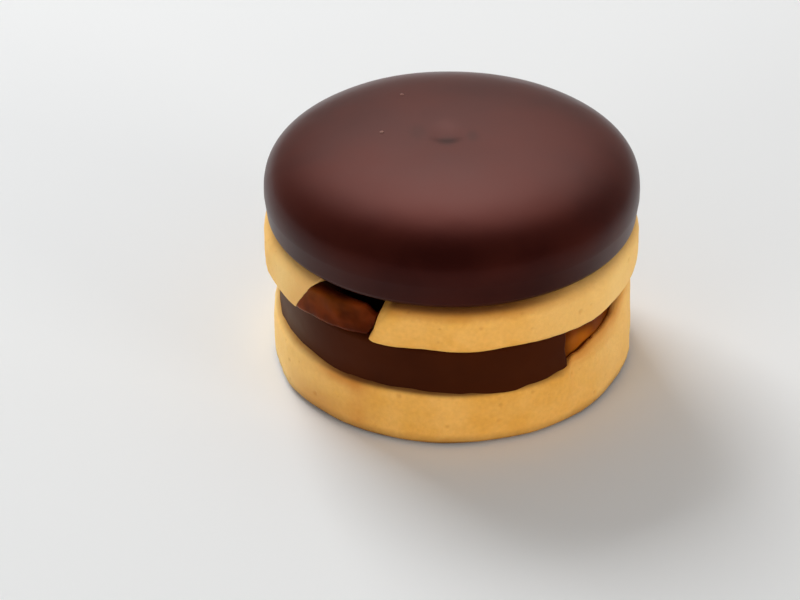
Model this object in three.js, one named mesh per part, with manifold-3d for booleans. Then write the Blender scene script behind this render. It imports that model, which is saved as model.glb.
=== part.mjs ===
// A double-deck jaffa cake: millimetres, +Z up, standing on the plane Z = 0 with its axis on Z.
//
// From the bottom: a sponge, a disc of orange jelly under a layer of dark chocolate, a second
// sponge, a second disc of jelly, and a thick domed chocolate cap with the dip that the pour left.
// The jelly of the upper deck runs down a tear in its sponge, left of the front. The chocolate of
// the lower deck stops short right of the front. Its jelly shows in the gap there, and the rim of
// the sponge below rises in front of it, up to the sponge above.
import * as THREE from "three";
import { mergeVertices } from "three/addons/utils/BufferGeometryUtils.js";
import Module from "manifold-3d";

const wasm = await Module();
wasm.setup();

// ---- Driving dimensions. Angles are in degrees, anticlockwise from +X; the front is at -90. ----
// outOfRound and waver are lists of sine waves round a piece, as [count, amplitude, phase]:
// outOfRound moves its side in and out, and waver moves the edge of one face up and down.

const clearance = 0.3; // between neighbouring pieces
const overshoot = 1; // by which a cutting block stands out of what it cuts
const segments = 88; // round a turned piece
const jellySegments = 54;
const arcDivisions = 2; // half the straight lines in a rounded corner

const lowerSponge = {
  radius: 27.4,
  bottom: 0,
  top: 9.4,
  footRound: 1.3,
  shoulderRound: 2.0,
  outOfRound: [[1, 0.1, 1.57], [2, 0.12, 0.4], [3, 0.1, 2.1], [7, 0.08, 0.9], [13, 0.06, 4.0]],
  waver: [[3, 0.1, 1.0], [8, 0.1, 3.3]],
};

const upperSponge = {
  radius: 28.3,
  bottom: 16.9,
  top: 24.3,
  footRound: 1.1,
  shoulderRound: 2.6,
  outOfRound: [[1, 0.2, -1.57], [2, 0.1, 1.7], [5, 0.1, 0.3], [9, 0.09, 2.2], [14, 0.06, 5.1]],
  waver: [[2, 0.12, -1.57], [4, 0.08, 0.2], [11, 0.12, 1.9]],
};
const swayWidth = 2.8; // of the outer part of a sponge's face that wavers

// The tear runs between these angles at the foot of the upper sponge, and leans back as it rises.
const tear = { from: -145, to: -117.1, leanFrom: 11, leanTo: 3.4, inner: 21.9 };

const lowerChocolate = {
  radius: 26.5,
  bottom: lowerSponge.top + clearance,
  top: upperSponge.bottom - clearance,
  footRound: 0.5,
  shoulderRound: 1.2,
  outOfRound: [[1, 0.2, 1.57], [3, 0.12, 0.7], [6, 0.08, 2.9]],
};
const shortfall = { from: -51, to: 4, inner: 21.5 }; // where the lower chocolate is missing

// The lower sponge's rim rises there in slopes, each [from, to, by], and falls away in one. Its
// crest is narrow at first, and wide from the second of the widening angles on.
const raisedRim = {
  inner: 25.5,
  foot: 27.1,
  narrow: 26.3,
  wide: 27.1,
  widens: [-30, -16],
  rises: [[-53, -46, 1.6], [-46, -38, 1.0], [-36, -25, 0.7], [-27, -16, 3.7]],
  falls: [-2, 12],
  curveSegments: 11,
};

const cap = {
  bottom: upperSponge.top + clearance,
  lipRadius: 27.7,
  lipRound: 1.1,
  wallRadius: 28.2,
  wallTop: 28.5,
  crownHeight: 8.9,
  radialPower: 2.74, // the shoulder is a superellipse of these two powers
  heightPower: 3.1,
  outOfRound: [[1, 0.12, -1.57], [2, 0.08, 0.6], [3, 0.06, 2.6]],
};
const crownSteps = 10; // straight lines up the crown
const dip = { depth: 0.2, radius: 2.6 };
const dipRings = [5.6, 3.9, 2.6, 1.3]; // radii at which the dip is drawn

const jelly = { radius: 20.5, thickness: 2.3, footRound: 0.2, shoulderRound: 0.9 };
const bulge = { margin: 1, taper: 12 }; // how a disc of jelly returns to its radius past a tongue
const lowerTongue = { height: 5.6, face: 25.2, faceTop: 24.4, reach: 23.4 };
const upperTongue = {
  faceLeft: 28.1,
  faceRight: 26.9,
  shoulderRight: 26.5,
  neck: 24,
  shoulderAt: 0.8, // share of its height at which it narrows to its neck
  reach: 25.2,
};
const tongueRows = 10; // straight lines up the upper tongue
const tongueOverlap = 0.8; // of the upper tongue and its disc

const colours = { sponge: 0xd99f4b, chocolate: 0x33140f, jelly: 0x8a3c10 };

// ---- Helpers ----

const { degToRad, radToDeg, lerp, clamp, smoothstep, euclideanModulo } = THREE.MathUtils;

// The sum of a list of waves at an angle.
function ripple(angle, waves) {
  const wave = ([count, amplitude, phase]) => amplitude * Math.sin(count * degToRad(angle) + phase);
  return waves.reduce((sum, terms) => sum + wave(terms), 0);
}

// Degrees from one angle anticlockwise to another, from -180 to 180.
function turnFrom(start, angle) {
  return euclideanModulo(angle - start + 180, 360) - 180;
}

// The angle that an arc of a given length takes at a radius.
function arcAngle(length, radius) {
  return radToDeg(length / radius);
}

// Moves every vertex: change gets the radius, angle and height of a point and returns new ones.
function reshape(geometry, change) {
  const position = geometry.attributes.position;
  for (let i = 0; i < position.count; i += 1) {
    const x = position.getX(i);
    const y = position.getY(i);
    const moved = change({ r: Math.hypot(x, y), a: radToDeg(Math.atan2(y, x)), z: position.getZ(i) });
    const angle = degToRad(moved.a);
    position.setXYZ(i, moved.r * Math.cos(angle), moved.r * Math.sin(angle), moved.z);
  }
  return geometry;
}

// Joins the corners that triangles share and drops the triangles that shrink to nothing at a pole.
function welded(geometry) {
  geometry.deleteAttribute("normal");
  geometry.deleteAttribute("uv");
  const merged = mergeVertices(geometry, 1e-4);
  const corners = merged.index.array;
  const kept = [];
  for (let i = 0; i < corners.length; i += 3) {
    const triangle = corners.slice(i, i + 3);
    if (new Set(triangle).size === 3) kept.push(...triangle);
  }
  return merged.setIndex(kept);
}

// A body turned about Z from a profile that runs up from the axis and back to it.
function turned(profile, count = segments) {
  return welded(new THREE.LatheGeometry(profile, count).rotateX(Math.PI / 2));
}

// Half section of a disc with rounded edges, from the middle of its base to the middle of its top.
function discProfile({ radius, bottom, top, footRound, shoulderRound }) {
  const path = new THREE.Path();
  path.moveTo(0, bottom);
  path.lineTo(radius - footRound, bottom);
  path.absarc(radius - footRound, bottom + footRound, footRound, -Math.PI / 2, 0, false);
  path.absarc(radius - shoulderRound, top - shoulderRound, shoulderRound, 0, Math.PI / 2, false);
  path.lineTo(0, top);
  return path.getPoints(arcDivisions);
}

// Part of a ring, drawn in plan and extruded upwards. An arc has twice curveSegments lines.
function ringSector({ from, to, inner, outer, bottom, top, steps = 1, curveSegments = 5 }) {
  const plan = new THREE.Shape();
  plan.absarc(0, 0, outer, degToRad(from), degToRad(to), false);
  plan.absarc(0, 0, inner, degToRad(to), degToRad(from), true);
  const settings = { depth: top - bottom, steps, curveSegments, bevelEnabled: false };
  return welded(new THREE.ExtrudeGeometry(plan, settings).translate(0, 0, bottom));
}

// A block between two angles. Its outer face stands at the radius that faceAt gives for a share
// of the way along it, a share of the way up and the angle. It is drawn 1 mm deep, then stretched.
function curvedBlock(block, faceAt) {
  const { from, to, inner, bottom, top } = block;
  return reshape(ringSector({ ...block, outer: inner + 1 }), ({ r, a, z }) => {
    const along = clamp(turnFrom(from, a) / (to - from), 0, 1);
    const up = (z - bottom) / (top - bottom);
    return { r: lerp(inner, faceAt(along, up, a), r - inner), a, z };
  });
}

// A welded geometry as a solid for cutting and joining.
function solidOf(geometry) {
  const vertProperties = geometry.attributes.position.array;
  const triVerts = new Uint32Array(geometry.index.array);
  return new wasm.Manifold(new wasm.Mesh({ numProp: 3, vertProperties, triVerts }));
}

function geometryOf(solid) {
  const mesh = solid.getMesh();
  const geometry = new THREE.BufferGeometry();
  geometry.setAttribute("position", new THREE.BufferAttribute(mesh.vertProperties, 3));
  return geometry.setIndex(new THREE.BufferAttribute(mesh.triVerts, 1));
}

function joined(...geometries) {
  const [first, ...rest] = geometries.map(solidOf);
  return geometryOf(rest.reduce((body, part) => body.add(part), first));
}

function cutBy(body, ...tools) {
  return geometryOf(tools.map(solidOf).reduce((left, tool) => left.subtract(tool), solidOf(body)));
}

// ---- Sponges ----

// A turned sponge bent out of true; swayAt says how much a height shares in the waver of its edge.
function bentSponge(sizes, swayAt) {
  const { radius, outOfRound, waver } = sizes;
  return reshape(turned(discProfile(sizes)), ({ r, a, z }) => {
    const sway = smoothstep(r, radius - swayWidth, radius) * swayAt(z) * ripple(a, waver);
    return { r: r * (1 + ripple(a, outOfRound) / radius), a, z: z + sway };
  });
}

// Height of the raised rim over the top of the lower sponge at an angle.
function rimHeight(a) {
  const risen = raisedRim.rises.reduce((sum, [from, to, by]) => sum + by * smoothstep(a, from, to), 0);
  return risen * (1 - smoothstep(a, ...raisedRim.falls));
}

// The raised rim, rooted in the rounded shoulder of the sponge.
function makeRaisedRim() {
  const { top, shoulderRound, outOfRound } = lowerSponge;
  const { inner, foot, narrow, wide, widens, curveSegments } = raisedRim;
  const gap = arcAngle(clearance, inner);
  const block = {
    from: shortfall.from + gap,
    to: shortfall.to - gap,
    inner,
    bottom: top - shoulderRound,
    top,
    curveSegments,
  };
  const rim = curvedBlock(block, (along, up, a) => {
    const crest = lerp(narrow, wide, smoothstep(a, ...widens));
    return lerp(foot, crest, up) + ripple(a, outOfRound);
  });
  return reshape(rim, ({ r, a, z }) => ({ r, a, z: z > block.bottom ? z + rimHeight(a) : z }));
}

function makeLowerSponge() {
  const { bottom, top, footRound } = lowerSponge;
  const body = bentSponge(lowerSponge, (z) => smoothstep(z, bottom + footRound, top));
  return joined(body, makeRaisedRim());
}

// Leans a ring sector back along the tear, each end by its own angle over the sponge's height.
function leanWithTear(geometry) {
  return reshape(geometry, ({ r, a, z }) => {
    const along = clamp(turnFrom(tear.from, a) / (tear.to - tear.from), 0, 1);
    const up = (z - upperSponge.bottom) / (upperSponge.top - upperSponge.bottom);
    return { r, a: a + up * lerp(tear.leanFrom, tear.leanTo, along), z };
  });
}

function makeUpperSponge() {
  const { radius, bottom, top, footRound } = upperSponge;
  const body = bentSponge(upperSponge, (z) => 1 - smoothstep(z, bottom + footRound, top));
  const cut = ringSector({
    from: tear.from - arcAngle(clearance, radius),
    to: tear.to + arcAngle(clearance, radius),
    inner: tear.inner,
    outer: radius + overshoot,
    bottom: bottom - overshoot,
    top: top + overshoot,
    steps: 4,
  });
  return cutBy(body, leanWithTear(cut));
}

// ---- Jelly ----

// A disc of jelly that reaches further out between two angles, and grown on all sides for a pocket.
function jellyDisc({ bottom, from, to, reach }, growth = 0) {
  const radius = jelly.radius + growth;
  const profile = discProfile({
    ...jelly,
    radius,
    bottom: bottom - growth,
    top: bottom + jelly.thickness + growth,
  });
  const middle = (from + to) / 2;
  const half = (to - from) / 2 + bulge.margin;
  return reshape(turned(profile, jellySegments), ({ r, a, z }) => {
    const near = 1 - smoothstep(Math.abs(turnFrom(middle, a)), half, half + bulge.taper);
    return { r: (r * (radius + near * (reach - jelly.radius))) / radius, a, z };
  });
}

const lowerDisc = { ...shortfall, bottom: lowerChocolate.bottom, reach: lowerTongue.reach };
const upperDisc = {
  from: tear.from + tear.leanFrom,
  to: tear.to + tear.leanTo,
  bottom: cap.bottom,
  reach: upperTongue.reach,
};

// The lower disc and the stretch of its rim that bulges where the chocolate is missing.
function makeLowerJelly() {
  const { height, face, faceTop } = lowerTongue;
  const gap = arcAngle(clearance, shortfall.inner);
  const block = {
    from: shortfall.from + gap,
    to: shortfall.to - gap,
    inner: shortfall.inner + clearance,
    bottom: lowerChocolate.bottom,
    top: lowerChocolate.bottom + height,
    steps: 5,
  };
  const tongue = curvedBlock(block, (along, up) => lerp(face, faceTop, up ** 2));
  return joined(jellyDisc(lowerDisc), tongue);
}

// The upper disc and the tongue that fills the tear in the sponge, with a shoulder just below the
// cap and a neck that joins it to the disc.
function makeUpperJelly() {
  const { faceLeft, faceRight, shoulderRight, neck, shoulderAt } = upperTongue;
  const block = {
    from: tear.from,
    to: tear.to,
    inner: tear.inner + clearance,
    bottom: upperSponge.bottom + clearance,
    top: cap.bottom + tongueOverlap,
    steps: tongueRows,
  };
  const tongue = curvedBlock(block, (along, up) => {
    const face = lerp(faceLeft, lerp(faceRight, shoulderRight, up), along);
    return lerp(face, neck, smoothstep(up, shoulderAt, shoulderAt + 1 / tongueRows));
  });
  return joined(jellyDisc(upperDisc), leanWithTear(tongue));
}

// ---- Chocolate ----

function makeLowerChocolate() {
  const { bottom, top, radius, outOfRound } = lowerChocolate;
  const body = reshape(turned(discProfile(lowerChocolate)), ({ r, a, z }) => {
    return { r: r * (1 + ripple(a, outOfRound) / radius), a, z };
  });
  const missing = ringSector({
    ...shortfall,
    outer: radius + overshoot,
    bottom: bottom - overshoot,
    top: top + overshoot,
  });
  return cutBy(body, missing, jellyDisc(lowerDisc, clearance));
}

// Height of the crown above the wall at a distance from the axis.
function crownAt(r) {
  const { wallRadius, crownHeight, radialPower, heightPower } = cap;
  return crownHeight * (1 - (r / wallRadius) ** radialPower) ** (1 / heightPower);
}

// Half section of the cap: flat base, rolled-in lip, upright wall, and crown.
function capProfile() {
  const { bottom, lipRadius, lipRound, wallRadius, wallTop, radialPower } = cap;
  const base = new THREE.Path();
  base.moveTo(0, bottom);
  base.lineTo(lipRadius - lipRound, bottom);
  base.quadraticCurveTo(lipRadius, bottom, lipRadius, bottom + lipRound);
  base.quadraticCurveTo(wallRadius, bottom + 2 * lipRound, wallRadius, wallTop);
  const points = base.getPoints(arcDivisions + 1);
  for (let step = 1; step < crownSteps; step += 1) {
    const r = wallRadius * Math.cos(((step / crownSteps) * Math.PI) / 2) ** (2 / radialPower);
    if (r > dipRings[0]) points.push(new THREE.Vector2(r, wallTop + crownAt(r)));
  }
  for (const r of [...dipRings, 0]) points.push(new THREE.Vector2(r, wallTop + crownAt(r)));
  return points;
}

function makeCap() {
  const { wallRadius, wallTop, outOfRound } = cap;
  const body = reshape(turned(capProfile()), ({ r, a, z }) => {
    const dipped = z > wallTop ? dip.depth * Math.exp(-((r / dip.radius) ** 2)) : 0;
    return { r: r * (1 + ripple(a, outOfRound) / wallRadius), a, z: z - dipped };
  });
  return cutBy(body, jellyDisc(upperDisc, clearance));
}

// ---- Assembly ----

function piece(name, geometry, color, roughness) {
  const material = new THREE.MeshStandardMaterial({ color, roughness, metalness: 0 });
  geometry.computeVertexNormals();
  const made = new THREE.Mesh(geometry, material);
  made.name = name;
  return made;
}

const cake = new THREE.Group();
cake.name = "jaffa_cake";
cake.add(
  piece("lower_sponge", makeLowerSponge(), colours.sponge, 0.9),
  piece("lower_jelly", makeLowerJelly(), colours.jelly, 0.15),
  piece("lower_chocolate", makeLowerChocolate(), colours.chocolate, 0.45),
  piece("upper_sponge", makeUpperSponge(), colours.sponge, 0.9),
  piece("upper_jelly", makeUpperJelly(), colours.jelly, 0.15),
  piece("chocolate_cap", makeCap(), colours.chocolate, 0.4),
);

// The ripples shift the middle of the footprint a little, and the origin belongs there.
const footprint = new THREE.Box3().setFromObject(cake).getCenter(new THREE.Vector3());
for (const mesh of cake.children) mesh.geometry.translate(-footprint.x, -footprint.y, 0);

export default cake;
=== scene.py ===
import math
import bpy
import numpy as np
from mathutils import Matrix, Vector


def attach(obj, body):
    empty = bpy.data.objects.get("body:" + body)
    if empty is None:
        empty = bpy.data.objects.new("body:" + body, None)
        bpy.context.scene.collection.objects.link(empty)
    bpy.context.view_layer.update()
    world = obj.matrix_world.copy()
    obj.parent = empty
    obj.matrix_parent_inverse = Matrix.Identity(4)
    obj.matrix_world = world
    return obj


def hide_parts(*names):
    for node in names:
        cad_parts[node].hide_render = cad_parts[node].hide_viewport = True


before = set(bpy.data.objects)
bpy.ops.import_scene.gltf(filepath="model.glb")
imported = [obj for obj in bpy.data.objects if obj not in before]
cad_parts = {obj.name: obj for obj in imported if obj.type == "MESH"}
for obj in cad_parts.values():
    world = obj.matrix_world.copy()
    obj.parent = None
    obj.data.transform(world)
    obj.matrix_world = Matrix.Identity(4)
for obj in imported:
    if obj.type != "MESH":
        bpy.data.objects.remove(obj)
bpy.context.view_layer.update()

# A double-deck jaffa cake on a pale table. Lengths are in millimetres and angles in degrees
# anticlockwise from +X, with the front of the cake at -90, until a mesh is written in metres.
mm = 0.001
axisAt = (0.098, -0.043)  # the cake's axis: its footprint's middle is the origin


def smooth(x, low, high):
    # 3u^2 - 2u^3 of the share u of the way from low to high, held at 0 and 1 beyond them; low may
    # be the larger of the two
    u = np.clip((x - low) / (high - low), 0.0, 1.0)
    return u * u * (3.0 - 2.0 * u)


def mix(a, b, share):
    return a + (b - a) * share


def waveSum(angle, waves):
    # the sum of size * sin(count * angle + phase) over the waves, angle in degrees
    return sum(size * np.sin(count * np.radians(angle) + phase) for count, size, phase in waves)


def bell(x, width):
    # e^-(x / width)^2
    return np.exp(-((x / width) ** 2))


tableRows = 4096


def tableRow(at):
    # the row of a table of random numbers that belongs to a cube of a lattice, from its three
    # whole numbers: each times a large prime, joined by exclusive or
    key = (at[..., 0] * 73856093) ^ (at[..., 1] * 19349663) ^ (at[..., 2] * 83492791)
    return key % tableRows


def latticeNoise(points, cell, seed):
    # a random number from -1 to 1 at each corner of a lattice of cubes, blended by 3u^2 - 2u^3
    # between the eight corners round a point
    table = np.random.default_rng(seed).uniform(-1.0, 1.0, tableRows)
    place = points / cell
    base = np.floor(place).astype(np.int64)
    u = place - base
    u = u * u * (3.0 - 2.0 * u)
    total = np.zeros(points.shape[:-1])
    for corner in np.ndindex(2, 2, 2):
        share = np.prod(np.where(np.array(corner) == 1, u, 1.0 - u), axis=-1)
        total += share * table[tableRow(base + np.array(corner))]
    return total


def lumpsAt(points, lumps, seed):
    # the sum of height * noise over lumps given as (height, size across)
    return sum(
        height * latticeNoise(points, across, seed + k) for k, (height, across) in enumerate(lumps))


def poreField(points, cell, filled, sizes, seed):
    # One cube in every few holds a pore at a random place: a round dimple with the depth
    # 1 - (distance / radius)^2, and the field is the deepest one at a point, from 0 to 1
    draw = np.random.default_rng(seed).uniform(0.0, 1.0, (tableRows, 5))
    base = np.floor(points / cell).astype(np.int64)
    deepest = np.zeros(points.shape[:-1])
    for step in np.ndindex(3, 3, 3):
        at = base + np.array(step) - 1
        pore = draw[tableRow(at)]
        centre = (at + 0.5 + 0.5 * (pore[..., :3] - 0.5)) * cell
        radius = mix(sizes[0], sizes[1], pore[..., 3] ** 2)
        depth = 1.0 - np.sum((points - centre) ** 2, axis=-1) / radius**2
        deepest = np.maximum(deepest, np.where(pore[..., 4] < filled, depth, 0.0))
    return deepest


def columnAngles(count, walls=(), width=1.6, crowding=7.0):
    # Angles round the axis, crowded together at steep walls: the inverse of the running sum of
    # 1 + crowding * exp(-((angle - wall) / width)^2)
    fine = np.linspace(-180.0, 180.0, 7201)
    weight = np.ones_like(fine)
    for wall in walls:
        weight += crowding * bell(fine - wall, width)
    total = np.concatenate([[0.0], np.cumsum((weight[1:] + weight[:-1]) / 2.0)])
    return np.interp(np.arange(count) / count * total[-1], total, fine)


def roundedProfile(corners, rounds, straightRows, cornerRows, count):
    # The half section of a body from the axis round to the axis, for each column: straight
    # stretches, joined at each corner P by the arc from A to B
    # ((1-u)^2 A + 2wu(1-u) P + u^2 B) / ((1-u)^2 + 2wu(1-u) + u^2), w the cosine of half its turn
    points = np.array([[np.broadcast_to(r, count), np.broadcast_to(z, count)] for r, z in corners])
    rows = [points[0]]
    start = points[0]
    for k in range(1, len(corners)):
        corner = points[k]
        into = corner - points[k - 1]
        lengthIn = np.linalg.norm(into, axis=0) + 1e-9
        last = k == len(corners) - 1
        if not last:
            onward = points[k + 1] - corner
            lengthOut = np.linalg.norm(onward, axis=0) + 1e-9
            cut = np.minimum(rounds[k - 1], 0.45 * np.minimum(lengthIn, lengthOut))
        end = corner if last else corner - into / lengthIn * cut
        for i in range(1, straightRows[k - 1] + 1):
            rows.append(mix(start, end, i / straightRows[k - 1]))
        if last:
            break
        far = corner + onward / lengthOut * cut
        turn = np.sum(into * onward, axis=0) / (lengthIn * lengthOut)
        w = np.sqrt(np.clip((1.0 + turn) / 2.0, 0.02, 1.0))
        for u in np.linspace(0.0, 1.0, cornerRows[k - 1] + 1)[1:]:
            bend = 2.0 * w * u * (1.0 - u)
            below = (1.0 - u) ** 2 + bend + u**2
            rows.append(((1.0 - u) ** 2 * end + bend * corner + u**2 * far) / below)
        start = far
    rows = np.array(rows)
    return rows[:, 0], rows[:, 1]


def spun(r, angle, z):
    # (r cos a, r sin a, z) for each row and column
    a = np.radians(angle) + np.zeros_like(r)
    return np.stack([r * np.cos(a), r * np.sin(a), z + np.zeros_like(r)], axis=-1)


def outwards(points):
    # unit normals of a grid: the step to the next column crossed with the step to the next row
    along = np.roll(points, -1, axis=1) - np.roll(points, 1, axis=1)
    up = np.gradient(points, axis=0)
    normal = np.cross(along, up)
    return normal / (np.linalg.norm(normal, axis=-1, keepdims=True) + 1e-12)


def raisedBy(points, height):
    # each point moved along its normal
    return points + outwards(points) * height[..., None]


def closedBody(name, points, marks=None):
    # Squares between neighbouring rows and columns of a grid, and a fan of triangles at each pole
    rows, count = points.shape[:2]
    vertices = np.vstack([points[0].mean(0), points[1:-1].reshape(-1, 3), points[-1].mean(0)])
    index = 1 + np.arange((rows - 2) * count).reshape(rows - 2, count)
    beside = np.roll(index, -1, axis=1)
    squares = np.stack([index[:-1], beside[:-1], beside[1:], index[1:]], axis=-1).reshape(-1, 4)
    pole = np.full(count, len(vertices) - 1)
    fans = np.vstack([
        np.stack([np.zeros_like(pole), beside[0], index[0]], axis=-1),
        np.stack([pole, index[-1], beside[-1]], axis=-1),
    ])
    mesh = bpy.data.meshes.new(name)
    placed = (vertices + np.array([*axisAt, 0.0])) * mm
    mesh.from_pydata(placed.tolist(), [], squares.tolist() + fans.tolist())
    mesh.polygons.foreach_set("use_smooth", np.ones(len(mesh.polygons), bool))
    for mark, values in (marks or {}).items():
        flat = np.concatenate([[values[0].mean()], values[1:-1].ravel(), [values[-1].mean()]])
        layer = mesh.attributes.new(mark, "FLOAT", "POINT")
        layer.data.foreach_set("value", flat.astype(np.float32))
    mesh.update()
    made = bpy.data.objects.new(name, mesh)
    bpy.context.scene.collection.objects.link(made)
    return made


def finishPiece(made, material, nodes=()):
    made.data.materials.append(material)
    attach(made, "root")
    if nodes:
        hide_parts(*nodes)
    print("made", made.name, len(made.data.vertices), "vertices")


def linear(hexColour):
    # sRGB hex to linear: (c / 12.92) below 0.04045, and ((c + 0.055) / 1.055)^2.4 above it
    parts = [int(hexColour[i:i + 2], 16) / 255.0 for i in (1, 3, 5)]
    return tuple(c / 12.92 if c <= 0.04045 else ((c + 0.055) / 1.055) ** 2.4 for c in parts) + (1.0,)


def addNode(material, kind, links=None, values=None, **settings):
    # A node with its settings, its sockets' values and the links that come into it
    tree = material.node_tree
    node = tree.nodes.new(kind)
    for key, value in settings.items():
        setattr(node, key, value)
    for key, value in (values or {}).items():
        node.inputs[key].default_value = value
    for key, source in (links or {}).items():
        tree.links.new(source, node.inputs[key])
    return node


def newMaterial(name, shader):
    # An empty material with one Principled shader whose sockets have the given values
    material = bpy.data.materials.new(name)
    material.use_nodes = True
    material.node_tree.nodes.clear()
    surface = addNode(material, "ShaderNodeBsdfPrincipled", values=shader)
    addNode(material, "ShaderNodeOutputMaterial", {"Surface": surface.outputs["BSDF"]})
    return material, surface


sponge = {
    "light": "#F0B75F",
    "pale": "#F7D893",
    "gold": "#E9AC4E",
    # these colours for browning, smears and crust also paint shade under the cap's lip, under the band
    # and at the foot
    "brownedAndShaded": "#B9772F",
    "soaked": "#C67A2C",
    "smearedAndShaded": "#4A2210",
    "crustAndShade": "#6B4722",
    "pore": "#B67B38",
    # noises: their size in mm, and the two values that become 0 and 1
    "noises": {
        "mottle": (5.0, 0.36, 0.66),
        "crumb": (0.7, 0.3, 0.72),
        "grain": (0.28, 0.2, 0.8),
    },
    "crumbDarkens": 0.2,
    "bumpMm": 0.05,
}


def makeSponge():
    # Genoise sponge baked in a tin: a fine dry crumb under a thin skin, so it is matt and soft,
    # golden with paler and browner clouds, orange where jelly has soaked in, darker at its edges:
    # chocolate smears and painted shade under the cap's lip and the band, crust and painted contact
    # shade at its foot
    material, surface = newMaterial("bakedGenoiseSponge", {
        "Roughness": 0.78,
        "IOR": 1.42,
        "Specular IOR Level": 0.25,
        "Subsurface Weight": 0.18,
        "Subsurface Radius": (0.9, 0.45, 0.18),
        "Subsurface Scale": 0.9 * mm,
    })
    place = addNode(material, "ShaderNodeTexCoord").outputs["Object"]
    shares = {}
    for pattern, (size, low, high) in sponge["noises"].items():
        noise = addNode(
            material, "ShaderNodeTexNoise", {"Vector": place}, {"Scale": 1000.0 / size, "Detail": 2.5})
        shares[pattern] = addNode(
            material, "ShaderNodeMapRange", {"Value": noise.outputs["Fac"]},
            {"From Min": low, "From Max": high}).outputs["Result"]
    colour = addNode(
        material, "ShaderNodeMix", {0: shares["mottle"]},
        {6: linear(sponge["light"]), 7: linear(sponge["gold"])}, data_type="RGBA").outputs[2]
    darker = addNode(
        material, "ShaderNodeMath", {0: shares["crumb"]}, {1: sponge["crumbDarkens"]},
        operation="MULTIPLY").outputs[0]
    colour = addNode(
        material, "ShaderNodeMix", {0: darker, 6: colour}, {7: linear(sponge["pore"])},
        data_type="RGBA").outputs[2]
    # three of these marks also carry painted shade: under the cap's lip, under the band and at the foot
    for mark, tint in (("pale", "pale"), ("pores", "pore"), ("brownedAndShaded", "brownedAndShaded"),
                       ("soaked", "soaked"), ("smearedAndShaded", "smearedAndShaded"), ("crustAndShade", "crustAndShade")):
        share = addNode(material, "ShaderNodeAttribute", attribute_name=mark).outputs["Fac"]
        colour = addNode(
            material, "ShaderNodeMix", {0: share, 6: colour}, {7: linear(sponge[tint])},
            data_type="RGBA").outputs[2]
    material.node_tree.links.new(colour, surface.inputs["Base Color"])
    height = addNode(
        material, "ShaderNodeMath", {0: shares["crumb"], 1: shares["grain"]}, operation="ADD").outputs[0]
    bump = addNode(
        material, "ShaderNodeBump", {"Height": height},
        {"Strength": 0.55, "Distance": sponge["bumpMm"] * mm},
    )
    material.node_tree.links.new(bump.outputs["Normal"], surface.inputs["Normal"])
    return material


chocolate = {
    "poured": {"roughness": 0.32, "gloss": 0.22, "dark": "#290C09", "warm": "#37140E"},
    "set": {"roughness": 0.5, "gloss": 0.07, "dark": "#351507", "warm": "#3F1A08"},
    # the colours of painted shade and of cocoa bloom with a painted sheen
    "paintedShade": "#0C0201",
    "bloomAndSheen": "#75614F",
    "cloudMm": 14.0,
    "grainMm": 0.6,
    "bumpMm": 0.03,
}


def makeChocolate(name, finish):
    # Dark chocolate, poured or dipped and left to set: smooth with a waxy half gloss, a broad soft
    # sheen that goes reddish where light comes off it, faint clouds of bloom and a very fine grain
    material, surface = newMaterial(name, {
        "IOR": 1.46,
        "Specular IOR Level": finish["gloss"],
        "Specular Tint": (1.0, 0.35, 0.3, 1.0),
        "Subsurface Weight": 0.04,
        "Subsurface Radius": (1.0, 0.35, 0.2),
        "Subsurface Scale": 0.8 * mm,
    })
    place = addNode(material, "ShaderNodeTexCoord").outputs["Object"]
    noise = addNode(
        material, "ShaderNodeTexNoise", {"Vector": place},
        {"Scale": 1000.0 / chocolate["cloudMm"], "Detail": 3.0})
    cloud = addNode(
        material, "ShaderNodeMapRange", {"Value": noise.outputs["Fac"]},
        {"From Min": 0.35, "From Max": 0.65}).outputs["Result"]
    colour = addNode(
        material, "ShaderNodeMix", {0: cloud}, {6: linear(finish["dark"]), 7: linear(finish["warm"])},
        data_type="RGBA").outputs[2]
    # painted shade in the cap's dip and on its side, cocoa bloom and a painted sheen at the band's left
    # end
    for mark in ("paintedShade", "bloomAndSheen"):
        share = addNode(material, "ShaderNodeAttribute", attribute_name=mark).outputs["Fac"]
        colour = addNode(
            material, "ShaderNodeMix", {0: share, 6: colour}, {7: linear(chocolate[mark])},
            data_type="RGBA").outputs[2]
    material.node_tree.links.new(colour, surface.inputs["Base Color"])
    sheen = addNode(
        material, "ShaderNodeMapRange", {"Value": cloud},
        {"To Min": finish["roughness"] - 0.02, "To Max": finish["roughness"] + 0.03},
    )
    material.node_tree.links.new(sheen.outputs["Result"], surface.inputs["Roughness"])
    grain = addNode(
        material, "ShaderNodeTexNoise", {"Vector": place}, {"Scale": 1000.0 / chocolate["grainMm"]})
    bump = addNode(
        material, "ShaderNodeBump", {"Height": grain.outputs["Fac"]},
        {"Strength": 0.12, "Distance": chocolate["bumpMm"] * mm})
    material.node_tree.links.new(bump.outputs["Normal"], surface.inputs["Normal"])
    return material


jelly = {
    "amber": "#612409",
    "deep": "#350C03",
    # the last two colours are painted light and painted shade
    "lit": "#BE6A18",
    "hollowShade": "#1E0503",
    "lumpMm": 3.5,
    "bumpMm": 0.15,
}


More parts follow.
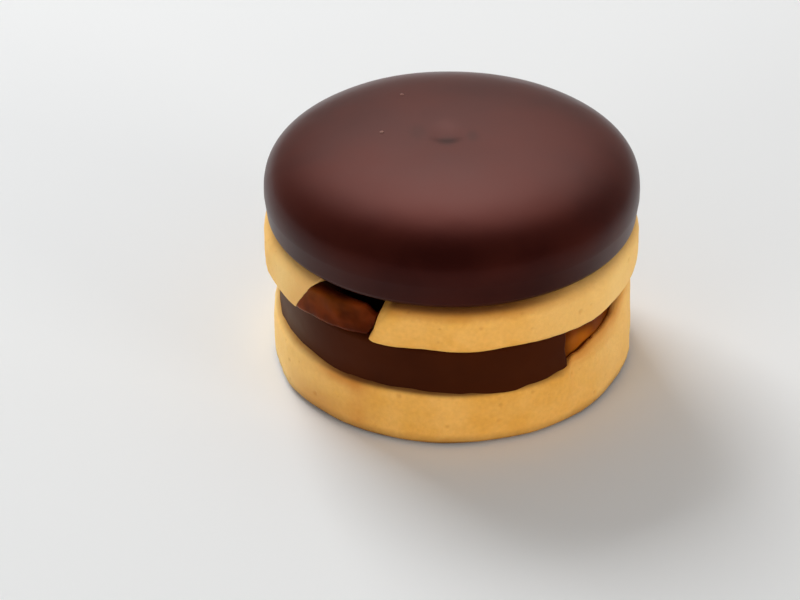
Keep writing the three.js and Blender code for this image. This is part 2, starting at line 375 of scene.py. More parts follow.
def makeJelly():
    # Set orange jelly: a wet gloss over a dense translucent body, amber and brown in clouds,
    # lighter with painted light and nearly black with painted shade in its hollows
    material, surface = newMaterial("setOrangeJelly", {
        "Roughness": 0.22,
        "IOR": 1.39,
        "Specular IOR Level": 0.07,
        "Specular Tint": (1.0, 0.45, 0.2, 1.0),
        "Subsurface Weight": 0.4,
        "Subsurface Radius": (1.0, 0.3, 0.08),
        "Subsurface Scale": 1.5 * mm,
    })
    place = addNode(material, "ShaderNodeTexCoord").outputs["Object"]
    noise = addNode(
        material, "ShaderNodeTexNoise", {"Vector": place}, {"Scale": 1000.0 / jelly["lumpMm"]})
    lump = addNode(
        material, "ShaderNodeMapRange", {"Value": noise.outputs["Fac"]},
        {"From Min": 0.36, "From Max": 0.64}).outputs["Result"]
    colour = addNode(
        material, "ShaderNodeMix", {0: lump}, {6: linear(jelly["deep"]), 7: linear(jelly["amber"])},
        data_type="RGBA").outputs[2]
    # painted light and painted shade
    for mark in ("lit", "hollowShade"):
        share = addNode(material, "ShaderNodeAttribute", attribute_name=mark).outputs["Fac"]
        colour = addNode(
            material, "ShaderNodeMix", {0: share, 6: colour}, {7: linear(jelly[mark])},
            data_type="RGBA").outputs[2]
    material.node_tree.links.new(colour, surface.inputs["Base Color"])
    bump = addNode(
        material, "ShaderNodeBump", {"Height": lump},
        {"Strength": 0.3, "Distance": jelly["bumpMm"] * mm})
    material.node_tree.links.new(bump.outputs["Normal"], surface.inputs["Normal"])
    return material


spongeMaterial = makeSponge()
capMaterial = makeChocolate("pouredDarkChocolate", chocolate["poured"])
bandMaterial = makeChocolate("setDarkChocolate", chocolate["set"])
jellyMaterial = makeJelly()
print("materials made")


spongeBottom = {
    "radius": 27.4,
    "bottom": 0.0,
    "top": 9.4,
    "rounds": (1.3, 2.0),
    "columns": 840,
    "outOfRound": [(1, 0.1, 1.57), (2, 0.12, 0.4), (3, 0.1, 2.1), (7, 0.08, 0.9), (13, 0.06, 4.0)],
    "waver": [(3, 0.1, 1.0), (8, 0.1, 3.3)],
    "swell": 0.18,  # of its side at half its height
    "ledge": (24.6, 24.2),  # two radii on its flat top that move out to the rim's inner wall
    # where the chocolate is short its rim rises in slopes (from, to, by) and falls in one
    "rim": {
        "rises": [(-53.0, -46.0, 1.5), (-46.0, -38.0, 0.8), (-36.0, -25.0, 0.6), (-25.0, -14.0, 4.1)],
        "falls": (-5.0, 17.0),
        "inside": 25.5,
        "outside": (26.3, 27.1),  # before and after it widens
        "widens": (-28.0, -14.0),
        "round": 0.9,
        "waver": [(19, 0.1, 0.4), (31, 0.07, 2.0)],
    },
    # browner crust and painted contact shade at its foot: its share, the height it is full up to and the
    # height it ends at
    "footCrustAndShade": [(0.4, 0.8, 2.4), (0.5, 0.1, 1.1)],
    # jelly smeared at an angle and a height, a trickle beside it and a dried patch
    "smear": {"at": -128.0, "width": 9.0, "height": 8.6, "depth": 1.3},
    "trickle": {"at": -121.0, "width": 3.5, "share": 0.3},
    "dried": {"at": -138.0, "width": 16.0, "share": 0.6},
    "seed": 11,
}
spongeTop = {
    "radius": 28.3,
    "bottom": 16.9,
    "top": 24.3,
    "rounds": (1.1, 2.6),
    "columns": 900,
    "outOfRound": [(1, 0.2, -1.57), (2, 0.1, 1.7), (5, 0.1, 0.3), (9, 0.09, 2.2), (14, 0.06, 5.1)],
    "waver": [(2, 0.12, -1.57), (4, 0.08, 0.2), (11, 0.12, 1.9)],
    # how far the torn sponge's right end is worn back in plan, at its foot and at its top; gap,
    # width and reach are angles
    "worn": {"plan": 1.1, "gap": 0.6, "width": 3.2, "foot": 0.45, "top": 2.0, "reach": 3.2},
    "seed": 23,
}
# Both sponges' crumb: lumps as (height, size across), and pores, one to a cell, in the share of
# the cells that is filled
crumbForm = {
    "lumps": [(0.11, 4.0), (0.045, 1.2)],
    "cell": 1.5,
    "filled": 0.3,
    "poreSizes": (0.18, 0.5),
    "poreDepth": 0.16,
}
swayWidth = 2.8  # of the outer part of a face that wavers
# The tear in the upper sponge and the gap in the lower chocolate: the angles of their ends, the
# radius of their inner wall and half the width in degrees of their end walls
tear = {
    "start": -145.0,
    "end": -117.1,
    "leanStart": 11.0,
    "leanEnd": 3.4,
    "toe": 1.6,
    "fades": (28.0, 22.0),  # how far the lean reaches past its left end and its right end
    "inner": 21.9,
    "wall": 1.6,
}
shortfall = {"start": -51.0, "end": 4.0, "inner": 21.5, "wall": 1.1}


def tearLean(angle, z):
    # The angle that a point of the upper deck is turned by, so that the tear leans back as it
    # rises: the lean of the nearer end, times the share of the sponge's height, fading to either
    # side, and the right end's toe at its foot
    along = np.clip((angle - tear["start"]) / (tear["end"] - tear["start"]), 0.0, 1.0)
    up = np.clip((z - spongeTop["bottom"]) / (spongeTop["top"] - spongeTop["bottom"]), 0.0, 1.0)
    fadeLeft, fadeRight = tear["fades"]
    fade = smooth(angle, tear["start"] - fadeLeft, tear["start"]) * (
        1.0 - smooth(angle, tear["end"], tear["end"] + fadeRight))
    toe = tear["toe"] * along * (1.0 - smooth(up, 0.0, 0.35))
    return (mix(tear["leanStart"], tear["leanEnd"], along) * up - toe) * fade


def between(angle, gap, margin=0.0):
    # 1 between the two walls of a gap and 0 outside them, with a smooth step at each wall
    wall = gap["wall"]
    start, end = gap["start"] - margin, gap["end"] + margin
    return smooth(angle, start - wall, start + wall) * (1.0 - smooth(angle, end - wall, end + wall))


def crumbRelief(points, seed, roughness=1.0):
    # Height of the crumb over a smooth sponge, its lumps less its pores, and how deep in a pore
    form = crumbForm
    depth = poreField(points, form["cell"], form["filled"], form["poreSizes"], seed + 2)
    return lumpsAt(points, form["lumps"], seed) * roughness - form["poreDepth"] * depth, depth


def rimCrest(angle):
    # the height of the bottom sponge's upper edge, and its share raised into a rim
    rim = spongeBottom["rim"]
    rise = sum(by * smooth(angle, start, end) for start, end, by in rim["rises"])
    rise = rise * (1.0 - smooth(angle, *rim["falls"]))
    raised = smooth(rise, 0.0, 1.2)
    return spongeBottom["top"] + rise + raised * waveSum(angle, rim["waver"]), raised


def paleness(angle, points):
    # how pale the sponge is made: most golden at the front, paler at the sides, in clouds
    back = smooth(angle, 60.0, 170.0)
    left = 0.72 * (1.0 - smooth(angle, -150.0, -118.0))
    aside = left + mix(0.36 * smooth(angle, -60.0, -20.0), 0.72, back)
    return np.clip(aside * (0.8 + 0.35 * latticeNoise(points, 7.0, 91)), 0.0, 1.0)


def smearAndShadeShare(angle):
    # the share of chocolate smear and painted shade on the sponge's edges under the cap's lip and the
    # band: most at the front, little at the sides
    return 0.2 + 0.6 * smooth(angle, -148.0, -122.0) * (1.0 - smooth(angle, -80.0, -45.0))


def makeSpongeBottom():
    # A disc with rounded edges, turned about Z, with its side out of round and its upper edge wavy
    sizes = spongeBottom
    angle = columnAngles(sizes["columns"])
    radius, low, top = sizes["radius"], sizes["bottom"], sizes["top"]
    rim = sizes["rim"]
    inside, outside = rim["inside"], mix(*rim["outside"], smooth(angle, *rim["widens"]))
    crest, raised = rimCrest(angle)
    ledgeOut, ledgeIn = sizes["ledge"]
    corners = [
        (0.0, low), (radius, low), (mix(radius, outside, raised), crest),
        (mix(ledgeOut, inside, raised), crest), (mix(ledgeIn, inside - 0.1, raised), top), (0.0, top),
    ]
    footRound, topRound = sizes["rounds"]
    rounds = (footRound, mix(topRound, rim["round"], raised), 0.5, 0.3)
    r, z = roundedProfile(corners, rounds, (10, 34, 6, 8, 10), (14, 16, 5, 4), len(angle))
    edge = smooth(r, radius - swayWidth, radius) * smooth(z, low + 1.9, top)
    z = z + edge * waveSum(angle, sizes["waver"])
    height = np.clip((z - low) / (top - low), 0.0, 1.0)
    side = r * waveSum(angle, sizes["outOfRound"]) / radius
    swell = sizes["swell"] * np.sin(np.pi * height) * smooth(r, 20.0, radius)
    points = spun(r + side + swell, angle, z)
    relief, depth = crumbRelief(points, sizes["seed"])
    points = raisedBy(points, relief * smooth(z, low, low + 0.8))  # the underside stays flat
    points[..., 2] = np.maximum(points[..., 2], low)
    wander = 0.5 + 0.5 * latticeNoise(points, 6.0, sizes["seed"] + 5)
    # browner crust and painted contact shade at the foot
    crustAndShade = sum(share * (1.0 - smooth(z, full, gone)) for share, full, gone in sizes["footCrustAndShade"])
    nearGap = smooth(angle, -57.0, -50.0) * (1.0 - smooth(angle, -26.0, -8.0))
    stain = smooth(z, 9.0, 10.0) * smooth(crest - z, 3.2, 0.2) * nearGap
    stain = np.maximum(stain, 1.3 * (1.0 - smooth(r, 25.2, 27.2)) * smooth(z, 8.4, 9.2) * nearGap)
    # painted shade on the top edge under the band, except at the gap
    edgeRingShade = 0.55 * smooth(z, 8.6, 9.4) * (1.0 - smooth(r, 26.4, 27.3)) * (
        1.0 - smooth(angle, -56.0, -50.0) * (1.0 - smooth(angle, 14.0, 24.0)))
    smear, trickle, dried = (
        bell(angle - sizes[key]["at"], sizes[key]["width"]) for key in ("smear", "trickle", "dried"))
    smear = smear * bell(z - sizes["smear"]["height"], sizes["smear"]["depth"]) * smooth(r, 20.0, 25.0)
    trickle = trickle * smooth(r, 22.0, 26.0) * sizes["trickle"]["share"]
    dried = dried * (1.0 - smooth(z, 2.0, 7.0)) * sizes["dried"]["share"]
    # the browning and smear marks also carry painted shade under the band, the crust mark painted
    # contact shade at the foot
    marks = {
        "brownedAndShaded": np.clip(0.12 * wander + dried + edgeRingShade, 0.0, 1.0),
        "crustAndShade": np.clip(crustAndShade * (0.9 + 0.4 * wander), 0.0, 1.0),
        "pale": paleness(angle, points),
        "soaked": np.clip(0.65 * stain + smear * (0.5 + 0.5 * wander) + trickle, 0.0, 1.0),
        # chocolate smear and painted shade on the top edge under the band
        "smearedAndShaded": smearAndShadeShare(angle) * smooth(z, 7.7, 8.8) * (1.0 - smooth(r, 26.95, 27.4)) * (
            1.0 - smooth(angle, -56.0, -48.0) * (1.0 - smooth(angle, 10.0, 16.0))),
        "pores": depth * 0.3,
    }
    made = closedBody("spongeBottom", points, marks)
    finishPiece(made, spongeMaterial, ["lower_sponge"])


def makeSpongeTop():
    # As the bottom sponge, and its radius drops to the tear's inner wall between the torn ends. The
    # right end is worn: in plan by a quarter circle, and at its foot and top by an amount that
    # grows along the tear and fades past its end in a bell curve
    sizes = spongeTop
    angle = columnAngles(sizes["columns"], (tear["start"], tear["end"]))
    radius, low, top = sizes["radius"], sizes["bottom"], sizes["top"]
    torn = between(angle, tear)
    worn = sizes["worn"]
    past = angle - tear["end"] - worn["gap"]
    fromEnd = np.clip(past / worn["width"], 0.0, 1.0)
    corner = worn["plan"] * (1.0 - np.sqrt(1.0 - (1.0 - fromEnd) ** 2))
    alongTear = smooth(angle, tear["start"] + 4.0, tear["end"] - 8.0)
    nearEnd = np.where(past < 0.0, alongTear, bell(past, worn["reach"]))
    outer = mix(radius - corner * smooth(angle, tear["start"], tear["end"]), tear["inner"], torn)
    foot, crest = low + worn["foot"] * nearEnd, top - worn["top"] * nearEnd
    corners = [(0.0, low), (outer, foot), (outer, crest), (0.0, top)]
    footRound, shoulderRound = sizes["rounds"]
    r, z = roundedProfile(corners, (footRound, shoulderRound), (10, 34, 12), (12, 16), len(angle))
    edge = smooth(r, radius - swayWidth, radius) * (1.0 - smooth(z, low + 1.1, top))
    z = z + edge * waveSum(angle, sizes["waver"])
    side = r * waveSum(angle, sizes["outOfRound"]) / radius
    points = spun(r + side, angle + tearLean(angle, z), z)
    relief, depth = crumbRelief(points, sizes["seed"], 1.0 + 1.2 * torn)
    points = raisedBy(points, relief)
    wander = 0.5 + 0.5 * latticeNoise(points, 6.0, sizes["seed"] + 5)
    # painted shade under the cap's lip
    underLipShade = smooth(z, 22.0, 23.7)
    right = smooth(angle, -75.0, -55.0) * (1.0 - smooth(angle, 60.0, 170.0))
    besideTear = 0.35 * bell(angle - tear["start"] + 3.0, 5.0)
    # the browning and smear marks carry painted shade under the cap's lip, the crust mark painted
    # contact shade at the foot
    marks = {
        "brownedAndShaded": np.clip((0.05 + 0.85 * smearAndShadeShare(angle)) * underLipShade + 0.12 * wander, 0.0, 1.0),
        "pale": np.clip(paleness(angle, points) + 0.3 * right, 0.0, 1.0),
        "soaked": np.maximum(0.6 * between(angle, tear, 1.2), besideTear) + np.zeros_like(r),
        "crustAndShade": 0.15 * (1.0 - smooth(z, low, low + 1.0)),
        "smearedAndShaded": smearAndShadeShare(angle) * smooth(z, 23.1, 23.9),
        "pores": depth * 0.3,
    }
    made = closedBody("spongeTop", points, marks)
    finishPiece(made, spongeMaterial, ["upper_sponge"])


chocolateBand = {
    "radius": 26.5,
    "bottom": 9.42,
    "top": 16.85,
    "rounds": (0.3, 0.3, 0.6, 0.12, 0.9, 1.1),
    "pocket": (20.9, 12.3),
    "toe": (25.0, 26.85, 8.62, 10.3),  # from, out to, down to, and rising to: over the sponge's edge
    "toeWaver": [(11, 0.08, 0.3), (19, 0.06, 1.1), (37, 0.04, 2.7)],
    "toeEnds": (-66.0, -54.0, 12.0, 24.0),  # it shrinks away between the first two and the last two
    "lean": (1.3, -1.0),  # degrees by which its ends lean, at its foot and its top
    "endWander": 1.3,  # degrees
    "swell": 0.15,  # of its side at half its height
    # the angle of the cocoa bloom and painted sheen at the band's left end
    "bloomAndSheenAt": -160.0,
    "lumps": [(0.1, 5.0), (0.02, 1.3)],
    "columns": 700,
    "outOfRound": [(1, 0.2, 1.57), (3, 0.12, 0.7), (6, 0.08, 2.9)],
    "seed": 37,
}


def makeBand():
    # A disc turned about Z over the jelly's pocket, with a toe that laps over the sponge's edge. Its
    # radius drops where the chocolate is short, and the ends there lean and wander with the height
    sizes = chocolateBand
    angle = columnAngles(sizes["columns"], (shortfall["start"], shortfall["end"]))
    missing = between(angle, shortfall)
    outer = mix(sizes["radius"], shortfall["inner"], missing)
    low, top = sizes["bottom"], sizes["top"]
    inner, roof = sizes["pocket"]
    foot = mix(low, roof - 0.05, missing)  # open to the jelly where it is short
    toeFrom, toeOut, toeLow, toeTop = sizes["toe"]
    fadeFrom, fadeTo, growFrom, growTo = sizes["toeEnds"]
    toe = 1.0 - smooth(angle, fadeFrom, fadeTo) * (1.0 - smooth(angle, growFrom, growTo))
    toeOut = mix(sizes["radius"], toeOut + waveSum(angle, sizes["toeWaver"]), toe)
    toeLow = mix(low, toeLow, toe)
    corners = [
        (0.0, roof), (inner, roof), (inner, foot), (mix(toeFrom, outer - 0.1, missing), foot),
        (mix(toeOut, outer, missing), mix(toeLow, foot, missing)),
        (outer, mix(toeTop, foot + 1.0, missing)), (outer, top), (0.0, top),
    ]
    rows, bends = (6, 6, 5, 5, 8, 26, 10), (4, 4, 4, 4, 6, 10)
    r, z = roundedProfile(corners, sizes["rounds"], rows, bends, len(angle))
    side = r * waveSum(angle, sizes["outOfRound"]) / sizes["radius"]
    up = np.clip((z - low) / (top - low), 0.0, 1.0)
    points = spun(r + side + sizes["swell"] * np.sin(np.pi * up) * smooth(r, 20.0, 26.0), angle, z)
    ends = sum(bell(angle - shortfall[end], 4.0) for end in ("start", "end"))
    uneven = latticeNoise(points * (0.3, 0.3, 1.0), 2.6, sizes["seed"] + 2)
    wander = mix(*sizes["lean"], up) + sizes["endWander"] * uneven
    points = spun(np.hypot(points[..., 0], points[..., 1]), angle + ends * wander, z)
    lumps = lumpsAt(points, sizes["lumps"], sizes["seed"])
    points = raisedBy(points, lumps * smooth(r, 21.0, 24.0))
    # cocoa bloom and a painted sheen at the band's left end
    fromBloomAndSheen = (angle - sizes["bloomAndSheenAt"] + 180.0) % 360.0 - 180.0  # -180 to 180, also past the seam
    bloomAndSheen = 0.35 * bell(fromBloomAndSheen, 15.0) + np.zeros_like(r)
    made = closedBody("chocolateBand", points, {"bloomAndSheen": bloomAndSheen, "paintedShade": np.zeros_like(r)})
    finishPiece(made, bandMaterial, ["lower_chocolate"])


cap = {
    "bottom": 24.42,
    "lipRadius": 27.7,
    "lipRound": 1.1,
    "wallRadius": 28.2,
    "wallTop": 28.5,
    "crownHeight": 8.9,
    "radialPower": 2.74,
    "heightPower": 3.1,
    "outOfRound": [(1, 0.12, -1.57), (2, 0.08, 0.6), (3, 0.06, 2.6)],
    "pocket": (20.9, 27.2),
    "tornPocket": 24.6,  # its radius over the tear, round the jelly's neck
    "lumps": [(0.05, 9.0), (0.012, 3.0)],
    # painted shade: the dark spot colour spread evenly on its side, below the crown
    "evenShade": 0.22,  # share of the spots' colour on its side
    "columns": 420,
    "seed": 41,
}
crownMarks = {
    # the dip that the pour left: its height, its middle, and its radii across, backwards and forwards
    "dip": (-0.16, (-1.0, -0.5), (2.1, 3.9, 1.6)),
    # spots of painted shade in it and beside it: their share, middle and radii
    "shadeSpots": [
        (1.0, (-0.8, -1.8), (1.4, 1.5, 1.5)),
        (0.6, (-5.2, 0.6), (1.3, 2.2, 2.2)),
        (0.75, (2.9, -0.4), (0.9, 1.6, 1.6)),
    ],
}


def mound(x, y, height, at, radii):
    # height * e^(-q^(3/2)), q the squared distance from its middle over its radii, with one radius
    # behind the middle and another in front of it
    depth = np.where(y > at[1], radii[1], radii[2])
    return height * np.exp(-((((x - at[0]) / radii[0]) ** 2 + ((y - at[1]) / depth) ** 2) ** 1.5))


def crownAt(x, y):
    # z = wallTop + crownHeight (1 - (r / wallRadius)^radialPower)^(1 / heightPower), and the dip
    share = np.clip(np.hypot(x, y) / cap["wallRadius"], 0.0, 1.0) ** cap["radialPower"]
    z = cap["wallTop"] + cap["crownHeight"] * (1.0 - share) ** (1.0 / cap["heightPower"])
    return z + mound(x, y, *crownMarks["dip"])


def makeCap():
    # Flat base over the jelly's pocket, rolled-in lip, upright wall and crown, turned about Z
    angle = columnAngles(cap["columns"])
    count = len(angle)
    inner, roof = cap["pocket"]
    low, lip, wall = cap["bottom"], cap["lipRadius"], cap["wallRadius"]
    torn = between(angle, {**tear, "wall": 2.0}, 2.0)
    inner = mix(inner, cap["tornPocket"], torn)
    corners = [(0.0, roof), (inner, roof), (inner, low), (lip, low), (wall, cap["wallTop"])]
    r, z = roundedProfile(corners, (0.3, 0.3, cap["lipRound"]), (5, 5, 6, 16), (3, 3, 12), count)
    turn = np.linspace(0.0, math.pi / 2.0, 71)[1:-1]
    steep = wall * np.cos(turn) ** (2.0 / cap["radialPower"])
    radii = np.concatenate([steep[steep > 8.0], np.linspace(8.0, 3.6, 16), np.linspace(3.5, 0.0, 36)])
    rings = np.repeat(radii[:, None], count, axis=1)
    a = np.radians(angle)
    r, z = np.vstack([r, rings]), np.vstack([z, crownAt(rings * np.cos(a), rings * np.sin(a))])
    side = r * waveSum(angle, cap["outOfRound"]) / wall
    points = spun(r + side, angle, z)
    flow = lumpsAt(points, cap["lumps"], cap["seed"])
    points = raisedBy(points, flow * smooth(z, low + 0.2, low + 2.0))
    # painted shade in spots in and beside the dip, and evenly on the side below the crown
    shadeSpots = sum(mound(points[..., 0], points[..., 1], *paintedShade) for paintedShade in crownMarks["shadeSpots"])
    onCrown = smooth(z, cap["wallTop"] - 2.0, cap["wallTop"] + 3.0)
    shadeSpots = mix(cap["evenShade"], np.clip(shadeSpots, 0.0, 1.0), onCrown)
    made = closedBody("chocolateCap", points, {"paintedShade": shadeSpots, "bloomAndSheen": np.zeros_like(r)})
    finishPiece(made, capMaterial, ["chocolate_cap"])


jellyLower = {
    "disc": 20.6,
    "bottom": 9.42,
    "discTop": 12.0,
    "crest": 15.2,
    "face": 25.45,
    "lean": 1.3,  # by which its face slopes back between the rim's crest and its own
    "underRim": 0.02,  # how far below the rim's crest the slope starts
    "inner": 21.8,
    "lumps": [(0.22, 3.4), (0.06, 1.3)],
    "columns": 560,
    "seed": 53,
}


def makeJellyLower():
    # A disc whose rim swells up and out into the gap in the chocolate, turned about Z
    sizes = jellyLower
    angle = columnAngles(sizes["columns"], (shortfall["start"], shortfall["end"]), 2.5, 4.0)
    swell = between(angle, {**shortfall, "wall": 1.4}, 0.3)
    disc, low = sizes["disc"], sizes["bottom"]
    face = mix(disc, sizes["face"], swell)
    crest = mix(disc, sizes["face"] - sizes["lean"], swell)
    peak = mix(sizes["discTop"], sizes["crest"], swell)
    knee = np.minimum(rimCrest(angle)[0] - sizes["underRim"], sizes["crest"] - 1.0)
    back = mix(disc - 1.5, sizes["inner"] - 0.4, swell)
    corners = [
        (0.0, low), (face, low), (face, mix(low + 0.5, knee, swell)), (crest, peak),
        (back, peak + 0.02), (back - 0.3, sizes["discTop"]), (0.0, sizes["discTop"]),
    ]
    rounds, rows = (0.3, 0.15, 0.9, 0.5, 0.2), (6, 8, 20, 8, 6, 6)
    r, z = roundedProfile(corners, rounds, rows, (4, 5, 8, 5, 3), len(angle))
    points = spun(r, angle, z)
    lumps = lumpsAt(points, sizes["lumps"], sizes["seed"])
    points = raisedBy(points, lumps * smooth(r, 21.5, 23.0))
    clouds = 0.8 + 0.25 * latticeNoise(points, 3.0, sizes["seed"] + 2)
    # painted light near the band's end, fading further round and upwards
    lit = smooth(angle, -51.0, -44.0) * (1.0 - 0.7 * smooth(angle, -42.0, -33.0)) * (
        1.0 - 0.8 * smooth(z, 12.2, 13.8)) * clouds
    marks = {"lit": np.clip(lit, 0.0, 1.0), "hollowShade": np.zeros_like(r)}
    made = closedBody("jellyLower", points, marks)
    finishPiece(made, jellyMaterial, ["lower_jelly"])


jellyUpper = {
    # pairs are at the tear's left end and its right end
    "disc": 20.6,
    "bottom": 24.42,
    "discTop": 26.9,
    "foot": 16.98,
    "face": (28.2, 26.9),
    "shoulder": (28.2, 26.5),
    "shoulderAt": (23.75, 23.2),
    "shoulderRound": (1.7, 0.9),
    "neck": 22.9,
    "hollow": (1.2, 3.2),  # how far its top falls behind its shoulder
    "shortBy": 1.5,  # degrees by which it ends before the tear's right end
    "sinks": (1.4, 0.78),  # how far its shoulder sinks at the right, from this share of its length
    "inner": 22.2,
    "lumps": [(0.3, 3.6), (0.08, 1.4)],
    "columns": 640,
    "seed": 61,
}


def makeJellyUpper():
    # A disc under the cap, whose rim runs down the tear as a tongue, turned about Z: flush with
    # the sponge at the tear's left end, set back at its right end, where it is hollow behind its
    # shoulder
    sizes = jellyUpper
    angle = columnAngles(sizes["columns"], (tear["start"], tear["end"]), 2.5, 5.0)
    tongue = between(angle, {**tear, "end": tear["end"] - sizes["shortBy"], "wall": 0.8}, 2.2)
    along = np.clip((angle - tear["start"]) / (tear["end"] - tear["start"]), 0.0, 1.0)
    disc, low = sizes["disc"], sizes["bottom"]
    face, shoulder = (mix(disc, mix(*sizes[key], along), tongue) for key in ("face", "shoulder"))
    sinksBy, sinksFrom = sizes["sinks"]
    shoulderAt = mix(*sizes["shoulderAt"], 1.0 - (1.0 - along) ** 2)
    shoulderAt = mix(low + 0.3, shoulderAt - sinksBy * smooth(along, sinksFrom, 1.0), tongue)
    neck = mix(disc, sizes["neck"], tongue)
    valley = shoulderAt - mix(0.0, mix(*sizes["hollow"], smooth(along, 0.0, 0.75)), tongue)
    foot = mix(low + 0.03, sizes["foot"], tongue)
    corners = [
        (0.0, low), (mix(disc - 1.5, sizes["inner"], tongue), low),
        (mix(disc - 1.48, sizes["inner"], tongue), foot), (face, foot), (shoulder, shoulderAt),
        (neck + 0.3 * tongue, valley), (neck, mix(low + 0.35, low + 0.1, tongue)),
        (neck, sizes["discTop"]), (0.0, sizes["discTop"]),
    ]
    rounds = (0.3, 0.4, 1.0, mix(*sizes["shoulderRound"], along), 0.3, 0.1, 0.8)
    rows, bends = (4, 8, 8, 16, 8, 4, 4, 6), (3, 4, 8, 12, 4, 2, 5)
    r, z = roundedProfile(corners, rounds, rows, bends, len(angle))
    side = r / spongeTop["radius"] * waveSum(angle, spongeTop["outOfRound"]) * (1.0 - along)
    points = spun(r + side * tongue, angle + tearLean(angle, z), z)
    lumps = lumpsAt(points, sizes["lumps"], sizes["seed"])
    lumps = lumps * smooth(r, 24.5, 26.5) * smooth(low - z, 0.8, 2.0) * smooth(along, 0.0, 0.4)
    points = raisedBy(points, lumps)
    clouds = 1.0 + 0.6 * latticeNoise(points, 4.0, sizes["seed"] + 2)
    # painted light on the tongue's left part
    lit = 0.2 * (1.0 - along) ** 1.5 * clouds * mix(0.35, 1.0, smooth(z, 18.5, 21.0)) * (
        1.0 - smooth(z, 21.8, 23.4)) * smooth(r, 26.0, 27.0)
    # painted shade, nearly black: low on the tongue's right part, behind its shoulder and under the
    # cap's lip
    hollowShade = 0.45 * smooth(along, 0.35, 0.85) * (1.0 - smooth(z, 17.6, 20.5))
    behind = (1.0 - smooth(r, 24.6, 26.0)) * smooth(low - z, 0.05, 0.4)
    hollowShade = np.maximum(hollowShade, np.maximum(behind, 0.8 * smooth(z, 22.4, 23.3)))
    marks = {"lit": np.clip(lit, 0.0, 1.0), "hollowShade": hollowShade}
    made = closedBody("jellyUpper", points, marks)
    finishPiece(made, jellyMaterial, ["upper_jelly"])


crumbs = [
    {"name": "crumbNear", "at": (-10.6, 1.0), "radius": 0.34, "seed": 71},
    {"name": "crumbFar", "at": (-7.6, 13.1), "radius": 0.27, "seed": 72},
]
crumbLook = {
    "dark": "#7C5950",
    "pale": "#A58076",
    "grainMm": 0.3,
    "shape": (1.0, 0.8, 0.5),  # its three half widths over its radius
    "roughness": 0.35,
    "sits": 0.1,  # its middle's height over the chocolate, over its radius
}


def makeCrumb(crumb):
    # A ball with the radius 1 + roughness * noise, stretched to its shape, nearly half sunk in the cap
    angle = columnAngles(20)
    tilt = np.radians(np.linspace(-90.0, 90.0, 13))[:, None]
    ball = spun(np.cos(tilt) + np.zeros(20), angle, np.sin(tilt))
    rough = crumbLook["roughness"] * latticeNoise(ball * 1.3, 1.0, crumb["seed"])
    ball = ball * (1.0 + rough)[..., None]
    x, y = crumb["at"]
    centre = np.array([x, y, crownAt(x, y) + crumbLook["sits"] * crumb["radius"]])
    made = closedBody(crumb["name"], centre + ball * crumb["radius"] * np.array(crumbLook["shape"]))
    finishPiece(made, crumbMaterial)


def makeCrumbMaterial():
    # A speck of dry sponge crumb: pale, matt and rough
    material, surface = newMaterial("drySpongeCrumb", {"Roughness": 0.85, "IOR": 1.42})
    place = addNode(material, "ShaderNodeTexCoord").outputs["Object"]
    noise = addNode(
        material, "ShaderNodeTexNoise", {"Vector": place}, {"Scale": 1000.0 / crumbLook["grainMm"]})
    colour = addNode(
        material, "ShaderNodeMix", {0: noise.outputs["Fac"]},
        {6: linear(crumbLook["dark"]), 7: linear(crumbLook["pale"])}, data_type="RGBA")
    material.node_tree.links.new(colour.outputs[2], surface.inputs["Base Color"])
    return material


makeSpongeBottom()
makeJellyLower()
makeBand()
makeSpongeTop()
makeJellyUpper()
makeCap()
crumbMaterial = makeCrumbMaterial()
for crumb in crumbs:
    makeCrumb(crumb)


# distance from the point it aims at, and the lens's focal length, both in mm
view = {"distance": 420.0, "elevation": 33.44, "aim": (-7.79, 0.0, 7.88), "lens": 122.23}


def makeCamera():
    data = bpy.data.cameras.new("camera")
    data.sensor_width = 36.0
    data.lens = view["lens"]
    data.clip_start, data.clip_end = 0.01, 20.0
    camera = bpy.data.objects.new("camera", data)
    bpy.context.scene.collection.objects.link(camera)
    tilt = math.radians(view["elevation"])
    away = Vector((0.0, -math.cos(tilt), math.sin(tilt))) * view["distance"]
    camera.location = (Vector(view["aim"]) + away) * mm
    camera.rotation_euler = (math.pi / 2.0 - tilt, 0.0, 0.0)
    bpy.context.scene.camera = camera


tableTop = {"half": 3.0, "dark": "#EAECEC", "light": "#F3F4F3", "cloudMm": 400.0}  # half in metres


def makeTable():
    # One large square at the height the cake stands on: matt laminate, near white, in faint clouds
    half = tableTop["half"]
    mesh = bpy.data.meshes.new("table")
    corners = [(-half, -half, 0.0), (half, -half, 0.0), (half, half, 0.0), (-half, half, 0.0)]
    mesh.from_pydata(corners, [], [(0, 1, 2, 3)])
    table = bpy.data.objects.new("table", mesh)
    bpy.context.scene.collection.objects.link(table)
    material, surface = newMaterial("mattWhiteLaminate", {"Roughness": 0.6, "Specular IOR Level": 0.05})
    place = addNode(material, "ShaderNodeTexCoord").outputs["Object"]
    noise = addNode(
        material, "ShaderNodeTexNoise", {"Vector": place}, {"Scale": 1000.0 / tableTop["cloudMm"]})
    colour = addNode(
        material, "ShaderNodeMix", {0: noise.outputs["Fac"]},
        {6: linear(tableTop["dark"]), 7: linear(tableTop["light"])}, data_type="RGBA")
    material.node_tree.links.new(colour.outputs[2], surface.inputs["Base Color"])
    mesh.materials.append(material)


lamps = {
    # name: (direction it shines from, distance in m, size in m, power in W, colour)
    "windowBehind": ((-0.40, 0.66, 0.63), 1.2, 0.6, 11.5, "#FCFDFF"),
    "fillLeft": ((-0.71, -0.70, 0.08), 1.2, 0.45, 5.4, "#FFFFFF"),
    "fillRight": ((0.80, -0.59, 0.08), 1.2, 0.45, 8.6, "#FFF8EE"),
}


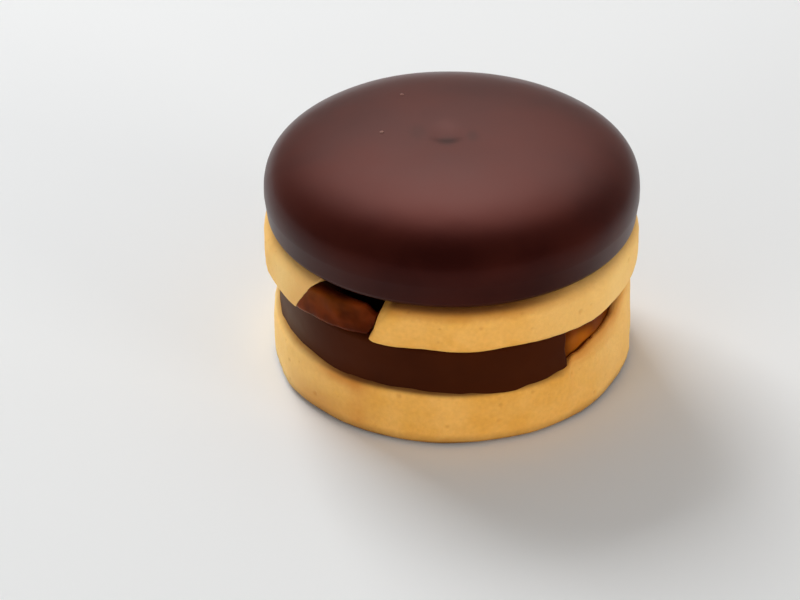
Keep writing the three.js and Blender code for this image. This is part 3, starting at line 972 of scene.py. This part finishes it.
def makeLamps():
    # Soft square lamps; their reflections come from the room instead
    for name, (toward, distance, size, power, colour) in lamps.items():
        data = bpy.data.lights.new(name, "AREA")
        data.size = size
        data.energy = power
        data.color = linear(colour)[:3]
        lamp = bpy.data.objects.new(name, data)
        lamp.location = Vector(toward).normalized() * distance
        lamp.rotation_euler = (-Vector(toward)).to_track_quat("-Z", "Y").to_euler()
        lamp.visible_glossy = False
        bpy.context.scene.collection.objects.link(lamp)


room = {
    "matt": 0.36,
    "window": 8.2,
    "windowAt": (0.0, 0.616, 0.788),
    "tone": "#FFDDD5",
    "windowSpread": 0.049,  # radians squared
    "wallToward": (0.3, 1.0, 0.0),  # the walls grow lighter this way
    "wallSpan": (-0.7, 0.4),  # between these shares of it
    "wallFront": 0.08,
    "wallBack": 0.6,
}


def makeRoom():
    # Even light on matt surfaces. In reflections, a soft window behind and above, bright as
    # e^((cos a - 1) / spread) at the angle a from its middle, in walls that darken to the front
    world = bpy.data.worlds.new("room")
    world.use_nodes = True
    world.node_tree.nodes.clear()
    bpy.context.scene.world = world
    direction = addNode(world, "ShaderNodeTexCoord").outputs["Generated"]
    cosine = addNode(
        world, "ShaderNodeVectorMath", {0: direction}, {1: room["windowAt"]}, operation="DOT_PRODUCT")
    fall = addNode(
        world, "ShaderNodeMapRange", {"Value": cosine.outputs["Value"]},
        {"From Min": 0.0, "From Max": 1.0, "To Min": -1.0 / room["windowSpread"], "To Max": 0.0},
    )
    window = addNode(world, "ShaderNodeMath", {0: fall.outputs["Result"]}, operation="EXPONENT")
    depth = addNode(
        world, "ShaderNodeVectorMath", {0: direction}, {1: room["wallToward"]},
        operation="DOT_PRODUCT").outputs["Value"]
    wall = addNode(
        world, "ShaderNodeMapRange", {"Value": depth},
        {"From Min": room["wallSpan"][0], "From Max": room["wallSpan"][1],
         "To Min": room["wallFront"], "To Max": room["wallBack"]},
        interpolation_type="SMOOTHSTEP",
    )
    glow = addNode(
        world, "ShaderNodeMath", {0: window.outputs[0], 2: wall.outputs["Result"]},
        {1: room["window"]}, operation="MULTIPLY_ADD",
    )
    matt = addNode(world, "ShaderNodeBackground", values={"Strength": room["matt"]})
    gloss = addNode(world, "ShaderNodeBackground", {"Strength": glow.outputs[0]})
    matt.inputs["Color"].default_value = (1.0, 1.0, 1.0, 1.0)
    gloss.inputs["Color"].default_value = linear(room["tone"])
    ray = addNode(world, "ShaderNodeLightPath").outputs["Is Glossy Ray"]
    both = addNode(world, "ShaderNodeMixShader", {0: ray, 1: matt.outputs[0], 2: gloss.outputs[0]})
    addNode(world, "ShaderNodeOutputWorld", {"Surface": both.outputs[0]})


makeCamera()
makeTable()
makeLamps()
makeRoom()
bpy.context.scene.view_settings.view_transform = "Standard"
print("table, camera and light made")
